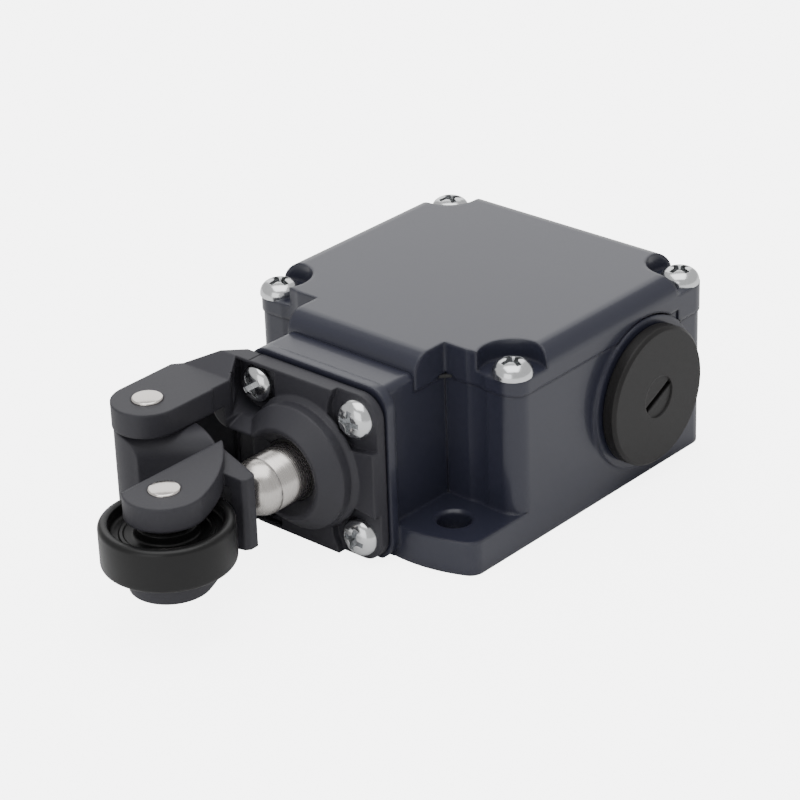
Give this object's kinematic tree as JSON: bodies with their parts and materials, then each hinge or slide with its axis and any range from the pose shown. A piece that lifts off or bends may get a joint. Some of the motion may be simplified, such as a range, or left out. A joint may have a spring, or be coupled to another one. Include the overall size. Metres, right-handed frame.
{
  "type": "roller lever limit switch",
  "caption": "Metal-bodied limit switch with a bent roller lever pushing a plunger, screwed cover, fixing feet and threaded cable entries.",
  "frame": {"origin": "midway between the two fixing holes, on the mounting face", "axes": "+Z out of the mounting face towards the cover, +Y from the lever end towards the rear cable entry, +X towards the side cable entry on the lever's free side"},
  "size_m": [0.0626, 0.1108, 0.0329],
  "materials": {
    "body_coat": "glossy dark blue-grey epoxy powder coat on die-cast zinc alloy",
    "head_coat": "matt dark grey coat on die-cast zinc alloy",
    "seal": "black nitrile rubber",
    "zinc": "bright zinc-plated steel",
    "nickel": "nickel-plated steel pin",
    "steel": "turned stainless steel",
    "bronze": "sintered bronze",
    "roller_plastic": "satin black moulded polyamide",
    "plug_plastic": "fine-grained black moulded plastic",
    "block_plastic": "red-brown moulding compound",
    "slide_plastic": "natural moulded plastic",
    "contact_brass": "bare brass"
  },
  "bodies": {
    "body": {"housing": "body_coat", "cover": "body_coat", "cover_gasket": "seal", "cover_screws": "zinc", "entry_plugs": "plug_plastic", "plug_washers": "seal", "head": "head_coat", "head_gasket": "seal", "head_screws": "zinc", "guide_bush": "bronze", "wiper_seal": "seal", "return_spring": "steel", "lever_pin": "nickel", "contact_base": "block_plastic", "fixed_contacts": "contact_brass", "terminal_screws": "zinc", "clamp_plates": "zinc", "contact_lid": "slide_plastic", "block_screws": "zinc", "earth_screw": "contact_brass"},
    "lever_arm": {"lever": "head_coat", "roller_pin": "nickel"},
    "roller": {"roller": "roller_plastic"},
    "plunger": {"plunger": "steel"},
    "slide": {"contact_slide": "slide_plastic", "nc_bridge": "contact_brass", "no_bridge": "contact_brass", "contact_springs": "steel"}
  },
  "joints": [
    {"name": "lever_hinge", "type": "hinge", "parent": "body", "child": "lever_arm", "pos_m": [-0.0175, -0.0294, 0.015], "axis": [0, 0, 1], "range_deg": [0, 17], "stiffness_Nm_per_rad": 0.05, "springref_deg": -17.19},
    {"name": "roller_spin", "type": "hinge", "parent": "lever_arm", "child": "roller", "pos_m": [0, -0.0434, 0.015], "axis": [0, 0, 1], "continuous": true},
    {"name": "plunger_slide", "type": "slide", "parent": "body", "child": "plunger", "axis": [0, 1, 0], "range_m": [0, 0.005], "deforming": ["return_spring"]},
    {"name": "contact_slide", "type": "slide", "parent": "body", "child": "slide", "axis": [0, 1, 0], "range_m": [0, 0.005]}
  ],
  "couplings": [
    {"joint": "plunger_slide", "follows": "lever_hinge", "m_per_rad": 0.01675},
    {"joint": "contact_slide", "follows": "lever_hinge", "m_per_rad": 0.01675}
  ]
}
